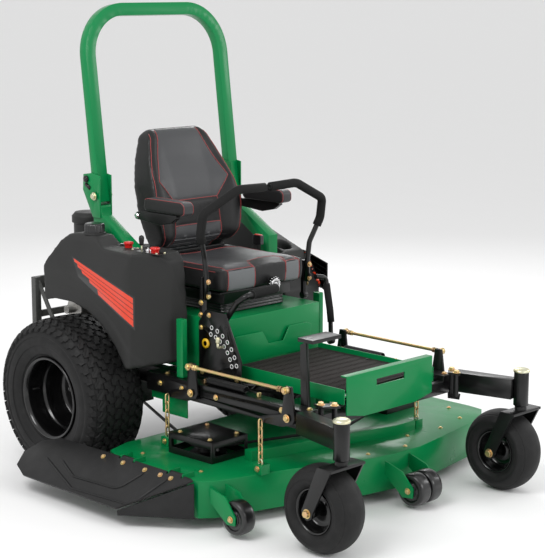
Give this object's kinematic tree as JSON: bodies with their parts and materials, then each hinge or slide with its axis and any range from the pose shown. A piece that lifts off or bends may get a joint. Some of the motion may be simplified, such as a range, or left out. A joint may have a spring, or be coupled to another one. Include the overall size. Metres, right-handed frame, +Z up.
{
  "type": "zero turn mower",
  "caption": "Ride-on zero turn mower with side-discharge deck, folding roll bar, sprung seat, steering levers and swivelling front casters.",
  "frame": {"origin": "on the ground, under the middle of the machine's box", "axes": "+Y to the machine's rear, +X to the operator's left, +Z up"},
  "size_m": [1.7871, 2.073, 1.9392],
  "materials": {
    "green_paint": "gloss powder coat",
    "black_paint": "satin powder coat",
    "guard_paint": "matt textured",
    "tank_plastic": "rotomoulded grain",
    "tyre_rubber": "turf tread",
    "rim_paint": "gloss black",
    "mat_rubber": "speckled",
    "seat_vinyl": "stitched vinyl",
    "lever_foam": "foam grip on painted tube",
    "zinc": "yellow zinc plate",
    "engine_black": "satin",
    "cowl_plastic": "moulded",
    "exhaust_steel": "dull",
    "bare_steel": "ground",
    "belt_rubber": "fabric wrapped",
    "roller_plastic": "moulded nylon",
    "chute_plastic": "ribbed rubber",
    "red_plastic": "moulded",
    "chrome": "polished"
  },
  "bodies": {
    "frame": {"main_frame": "black_paint", "caster_arms": "black_paint", "foot_platform": "green_paint", "foot_mat": "mat_rubber", "seat_box": "green_paint", "height_plate": "black_paint", "fuel_tank_right": "tank_plastic", "fuel_tank_left": "tank_plastic", "frame_uprights": "green_paint", "rear_guard": "guard_paint", "engine_block": "engine_black", "engine_cowl": "cowl_plastic", "muffler": "exhaust_steel", "transaxles": "engine_black", "seat_base": "black_paint", "lift_springs": "black_paint"},
    "drive_wheel_right": {"rear_tyre_right": "tyre_rubber", "rear_rim_right": "rim_paint"},
    "drive_wheel_left": {"rear_tyre_left": "tyre_rubber", "rear_rim_left": "rim_paint"},
    "caster_right": {"caster_fork_right": "black_paint"},
    "caster_left": {"caster_fork_left": "black_paint"},
    "caster_wheel_right": {"caster_tyre_right": "tyre_rubber", "caster_rim_right": "rim_paint"},
    "caster_wheel_left": {"caster_tyre_left": "tyre_rubber", "caster_rim_left": "rim_paint"},
    "roll_bar": {"rops_hoop": "green_paint"},
    "seat_carriage": {"seat_pan": "black_paint"},
    "seat": {"seat_cushion": "seat_vinyl"},
    "backrest": {"seat_back": "seat_vinyl"},
    "armrest_right": {"armrest_right": "seat_vinyl"},
    "armrest_left": {"armrest_left": "seat_vinyl"},
    "seat_dial": {"seat_knob": "chrome"},
    "lever_foot_right": {"lever_base_right": "black_paint"},
    "lever_foot_left": {"lever_base_left": "black_paint"},
    "lever_right": {"steering_lever_right": "lever_foam"},
    "lever_left": {"steering_lever_left": "lever_foam"},
    "parking_brake": {"parking_brake_lever": "black_paint"},
    "height_lever": {"height_lever": "black_paint"},
    "height_pin": {"height_pin": "zinc"},
    "lift_crank_front": {"lift_front": "black_paint"},
    "lift_crank_rear": {"lift_rear": "black_paint"},
    "lift_rods": {"lift_rods": "zinc"},
    "deck": {"deck_shell": "green_paint", "deck_brackets": "green_paint", "belt_covers": "black_paint", "deck_belt": "belt_rubber", "lift_chains": "zinc"},
    "blade_right": {"blade_right": "bare_steel"},
    "blade_middle": {"blade_middle": "bare_steel"},
    "blade_left": {"blade_left": "bare_steel"},
    "crankshaft": {"engine_pulley": "bare_steel"},
    "roller_right": {"roller_right": "roller_plastic"},
    "roller_pair": {"roller_pair": "roller_plastic"},
    "chute": {"discharge_chute": "chute_plastic"},
    "fuel_cap_right": {"fuel_cap_right": "tank_plastic"},
    "fuel_cap_left": {"fuel_cap_left": "tank_plastic"},
    "blade_switch": {"blade_switch": "red_plastic"},
    "choke": {"choke_knob": "red_plastic"},
    "throttle": {"throttle_lever": "chrome"}
  },
  "joints": [
    {"name": "drive_wheel_right_spin", "type": "hinge", "parent": "frame", "child": "drive_wheel_right", "pos_m": [-0.541, 0.572, 0.33], "axis": [1, 0, 0], "continuous": true},
    {"name": "caster_right_swivel", "type": "hinge", "parent": "frame", "child": "caster_right", "pos_m": [-0.527, -0.947, 0.43], "axis": [0, 0, 1], "continuous": true},
    {"name": "caster_wheel_right_spin", "type": "hinge", "parent": "caster_right", "child": "caster_wheel_right", "pos_m": [-0.527, -0.865, 0.165], "axis": [1, 0, 0], "continuous": true},
    {"name": "steering_right", "type": "hinge", "parent": "frame", "child": "lever_foot_right", "pos_m": [-0.29, 0.028, 0.711], "axis": [1, 0, 0], "range_deg": [-10, 15]},
    {"name": "lever_right_swing", "type": "hinge", "parent": "lever_foot_right", "child": "lever_right", "pos_m": [-0.29, 0.008, 0.8], "axis": [0, -1, 0], "range_deg": [0, 32]},
    {"name": "armrest_right_fold", "type": "hinge", "parent": "backrest", "child": "armrest_right", "pos_m": [-0.294, 0.414, 1.073], "axis": [-1, 0, 0], "range_deg": [0, 40]},
    {"name": "fuel_cap_right_turn", "type": "hinge", "parent": "frame", "child": "fuel_cap_right", "pos_m": [-0.478, 0.477, 1.03], "axis": [0, 0, 1], "continuous": true},
    {"name": "drive_wheel_left_spin", "type": "hinge", "parent": "frame", "child": "drive_wheel_left", "pos_m": [0.545, 0.572, 0.33], "axis": [1, 0, 0], "continuous": true},
    {"name": "caster_left_swivel", "type": "hinge", "parent": "frame", "child": "caster_left", "pos_m": [0.531, -0.947, 0.43], "axis": [0, 0, 1], "continuous": true},
    {"name": "caster_wheel_left_spin", "type": "hinge", "parent": "caster_left", "child": "caster_wheel_left", "pos_m": [0.531, -0.865, 0.165], "axis": [1, 0, 0], "continuous": true},
    {"name": "steering_left", "type": "hinge", "parent": "frame", "child": "lever_foot_left", "pos_m": [0.294, 0.028, 0.711], "axis": [1, 0, 0], "range_deg": [-10, 15]},
    {"name": "lever_left_swing", "type": "hinge", "parent": "lever_foot_left", "child": "lever_left", "pos_m": [0.294, 0.008, 0.8], "axis": [0, 1, 0], "range_deg": [0, 32]},
    {"name": "armrest_left_fold", "type": "hinge", "parent": "backrest", "child": "armrest_left", "pos_m": [0.298, 0.414, 1.073], "axis": [-1, 0, 0], "range_deg": [0, 40]},
    {"name": "fuel_cap_left_turn", "type": "hinge", "parent": "frame", "child": "fuel_cap_left", "pos_m": [0.482, 0.594, 0.97], "axis": [0, 0, 1], "continuous": true},
    {"name": "roll_bar_fold", "type": "hinge", "parent": "frame", "child": "roll_bar", "pos_m": [0.002, 0.56, 1.15], "axis": [-1, 0, 0], "range_deg": [0, 100]},
    {"name": "seat_bounce", "type": "slide", "parent": "frame", "child": "seat_carriage", "axis": [0, 0, 1], "range_m": [-0.035, 0], "stiffness_N_per_m": 9000, "springref_m": 0.03},
    {"name": "seat_slide", "type": "slide", "parent": "seat_carriage", "child": "seat", "axis": [0, 1, 0], "range_m": [-0.06, 0.05]},
    {"name": "backrest_recline", "type": "hinge", "parent": "seat", "child": "backrest", "pos_m": [0.002, 0.412, 0.905], "axis": [1, 0, 0], "range_deg": [-10, 15]},
    {"name": "seat_dial_turn", "type": "hinge", "parent": "seat", "child": "seat_dial", "pos_m": [0.03, -0.048, 0.803], "axis": [0, 1, 0], "continuous": true},
    {"name": "parking_brake_pull", "type": "hinge", "parent": "frame", "child": "parking_brake", "pos_m": [0.347, -0.083, 0.52], "axis": [1, 0, 0], "range_deg": [0, 25]},
    {"name": "deck_lift", "type": "slide", "parent": "frame", "child": "deck", "axis": [0, 0, 1], "range_m": [0, 0.085], "deforming": ["deck_belt"]},
    {"name": "lift_crank_front_turn", "type": "hinge", "parent": "frame", "child": "lift_crank_front", "pos_m": [0.002, -0.597, 0.43], "axis": [1, 0, 0], "range_deg": [0, 38]},
    {"name": "lift_crank_rear_turn", "type": "hinge", "parent": "frame", "child": "lift_crank_rear", "pos_m": [0.002, -0.066, 0.43], "axis": [1, 0, 0], "range_deg": [0, 38]},
    {"name": "lift_rod_level", "type": "hinge", "parent": "lift_crank_front", "child": "lift_rods", "pos_m": [0.002, -0.597, 0.538], "axis": [1, 0, 0], "range_deg": [-38, 0]},
    {"name": "height_lever_pull", "type": "hinge", "parent": "frame", "child": "height_lever", "pos_m": [-0.298, -0.034, 0.608], "axis": [1, 0, 0], "range_deg": [-20.5, 0]},
    {"name": "height_pin_pull", "type": "slide", "parent": "frame", "child": "height_pin", "axis": [-1, 0, 0], "range_m": [0, 0.03]},
    {"name": "blade_middle_spin", "type": "hinge", "parent": "deck", "child": "blade_middle", "pos_m": [0.104, -0.3, 0.1], "axis": [0, 0, 1], "continuous": true},
    {"name": "blade_right_spin", "type": "hinge", "parent": "deck", "child": "blade_right", "pos_m": [-0.41, -0.128, 0.1], "axis": [0, 0, 1], "continuous": true},
    {"name": "blade_left_spin", "type": "hinge", "parent": "deck", "child": "blade_left", "pos_m": [0.618, -0.128, 0.1], "axis": [0, 0, 1], "continuous": true},
    {"name": "crankshaft_spin", "type": "hinge", "parent": "frame", "child": "crankshaft", "pos_m": [0.002, 0.772, 0.234], "axis": [0, 0, 1], "continuous": true},
    {"name": "roller_right_spin", "type": "hinge", "parent": "deck", "child": "roller_right", "pos_m": [-0.638, -0.536, 0.078], "axis": [1, 0, 0], "continuous": true},
    {"name": "roller_pair_spin", "type": "hinge", "parent": "deck", "child": "roller_pair", "pos_m": [0.114, -0.78, 0.078], "axis": [1, 0, 0], "continuous": true},
    {"name": "chute_lift", "type": "hinge", "parent": "deck", "child": "chute", "pos_m": [-0.704, -0.128, 0.1994], "axis": [0, 1, 0], "range_deg": [0, 85]},
    {"name": "blade_switch_pull", "type": "slide", "parent": "frame", "child": "blade_switch", "axis": [0, 0, 1], "range_m": [0, 0.012]},
    {"name": "choke_pull", "type": "slide", "parent": "frame", "child": "choke", "axis": [0, 0, 1], "range_m": [0, 0.02]},
    {"name": "throttle_push", "type": "hinge", "parent": "frame", "child": "throttle", "pos_m": [-0.438, 0.229, 0.945], "axis": [1, 0, 0], "range_deg": [-8, 14]}
  ],
  "couplings": [
    {"joint": "lift_crank_front_turn", "follows": "deck_lift", "rad_per_m": 7.6923},
    {"joint": "lift_crank_rear_turn", "follows": "deck_lift", "rad_per_m": 7.6923},
    {"joint": "lift_rod_level", "follows": "deck_lift", "rad_per_m": -7.6923},
    {"joint": "height_lever_pull", "follows": "deck_lift", "rad_per_m": -4.1067},
    {"joint": "blade_right_spin", "follows": "blade_middle_spin", "ratio": 1},
    {"joint": "blade_left_spin", "follows": "blade_middle_spin", "ratio": 1},
    {"joint": "crankshaft_spin", "follows": "blade_middle_spin", "ratio": 1}
  ]
}
